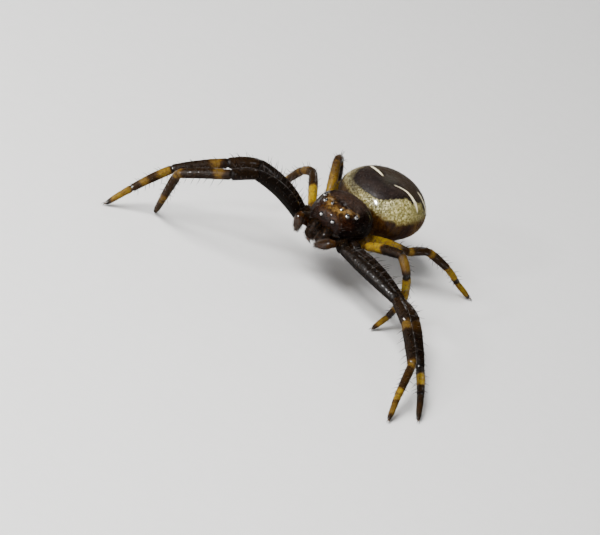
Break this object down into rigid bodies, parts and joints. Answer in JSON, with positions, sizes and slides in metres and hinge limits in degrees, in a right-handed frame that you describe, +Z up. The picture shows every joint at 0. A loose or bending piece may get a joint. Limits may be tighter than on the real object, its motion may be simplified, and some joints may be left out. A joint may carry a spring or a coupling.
{
  "type": "crab spider",
  "caption": "Crab spider at life size, standing still with its long front legs spread and its glossy, broad abdomen raised on thin hind legs.",
  "frame": {"origin": "on the floor under the middle of the whole spider, legs included", "axes": "+Z up; the spider faces -Y and its left side is +X"},
  "size_m": [0.0178, 0.0146, 0.0049],
  "materials": {
    "carapace": "glossy cuticle",
    "jaw": "glossy cuticle",
    "eye": "polished lens",
    "dark_leg": "glossy cuticle",
    "banded_leg": "glossy cuticle",
    "abdomen": "satin skin",
    "spinneret": "satin skin"
  },
  "bodies": {
    "root": {"prosoma": "carapace", "eye_ame_left": "eye", "eye_ale_left": "eye", "eye_pme_left": "eye", "eye_ple_left": "eye", "eye_ame_right": "eye", "eye_ale_right": "eye", "eye_pme_right": "eye", "eye_ple_right": "eye", "chelicera_left": "jaw", "fang_left": "jaw", "chelicera_right": "jaw", "fang_right": "jaw", "palp_left": "jaw", "palp_right": "jaw", "pedicel": "spinneret", "abdomen": "abdomen", "spinnerets": "spinneret", "leg_L1_femur": "dark_leg", "leg_L1_patella": "dark_leg", "leg_L1_tibia": "dark_leg", "leg_L1_metatarsus": "dark_leg", "leg_L1_tarsus": "dark_leg", "leg_L2_femur": "dark_leg", "leg_L2_patella": "dark_leg", "leg_L2_tibia": "dark_leg", "leg_L2_metatarsus": "dark_leg", "leg_L2_tarsus": "dark_leg", "leg_L3_femur": "banded_leg", "leg_L3_patella": "banded_leg", "leg_L3_tibia": "banded_leg", "leg_L3_metatarsus": "banded_leg", "leg_L3_tarsus": "banded_leg", "leg_L4_femur": "banded_leg", "leg_L4_patella": "banded_leg", "leg_L4_tibia": "banded_leg", "leg_L4_metatarsus": "banded_leg", "leg_L4_tarsus": "banded_leg", "leg_R1_femur": "dark_leg", "leg_R1_patella": "dark_leg", "leg_R1_tibia": "dark_leg", "leg_R1_metatarsus": "dark_leg", "leg_R1_tarsus": "dark_leg", "leg_R2_femur": "dark_leg", "leg_R2_patella": "dark_leg", "leg_R2_tibia": "dark_leg", "leg_R2_metatarsus": "dark_leg", "leg_R2_tarsus": "dark_leg", "leg_R3_femur": "banded_leg", "leg_R3_patella": "banded_leg", "leg_R3_tibia": "banded_leg", "leg_R3_metatarsus": "banded_leg", "leg_R3_tarsus": "banded_leg", "leg_R4_femur": "banded_leg", "leg_R4_patella": "banded_leg", "leg_R4_tibia": "banded_leg", "leg_R4_metatarsus": "banded_leg", "leg_R4_tarsus": "banded_leg"}
  },
  "joints": []
}
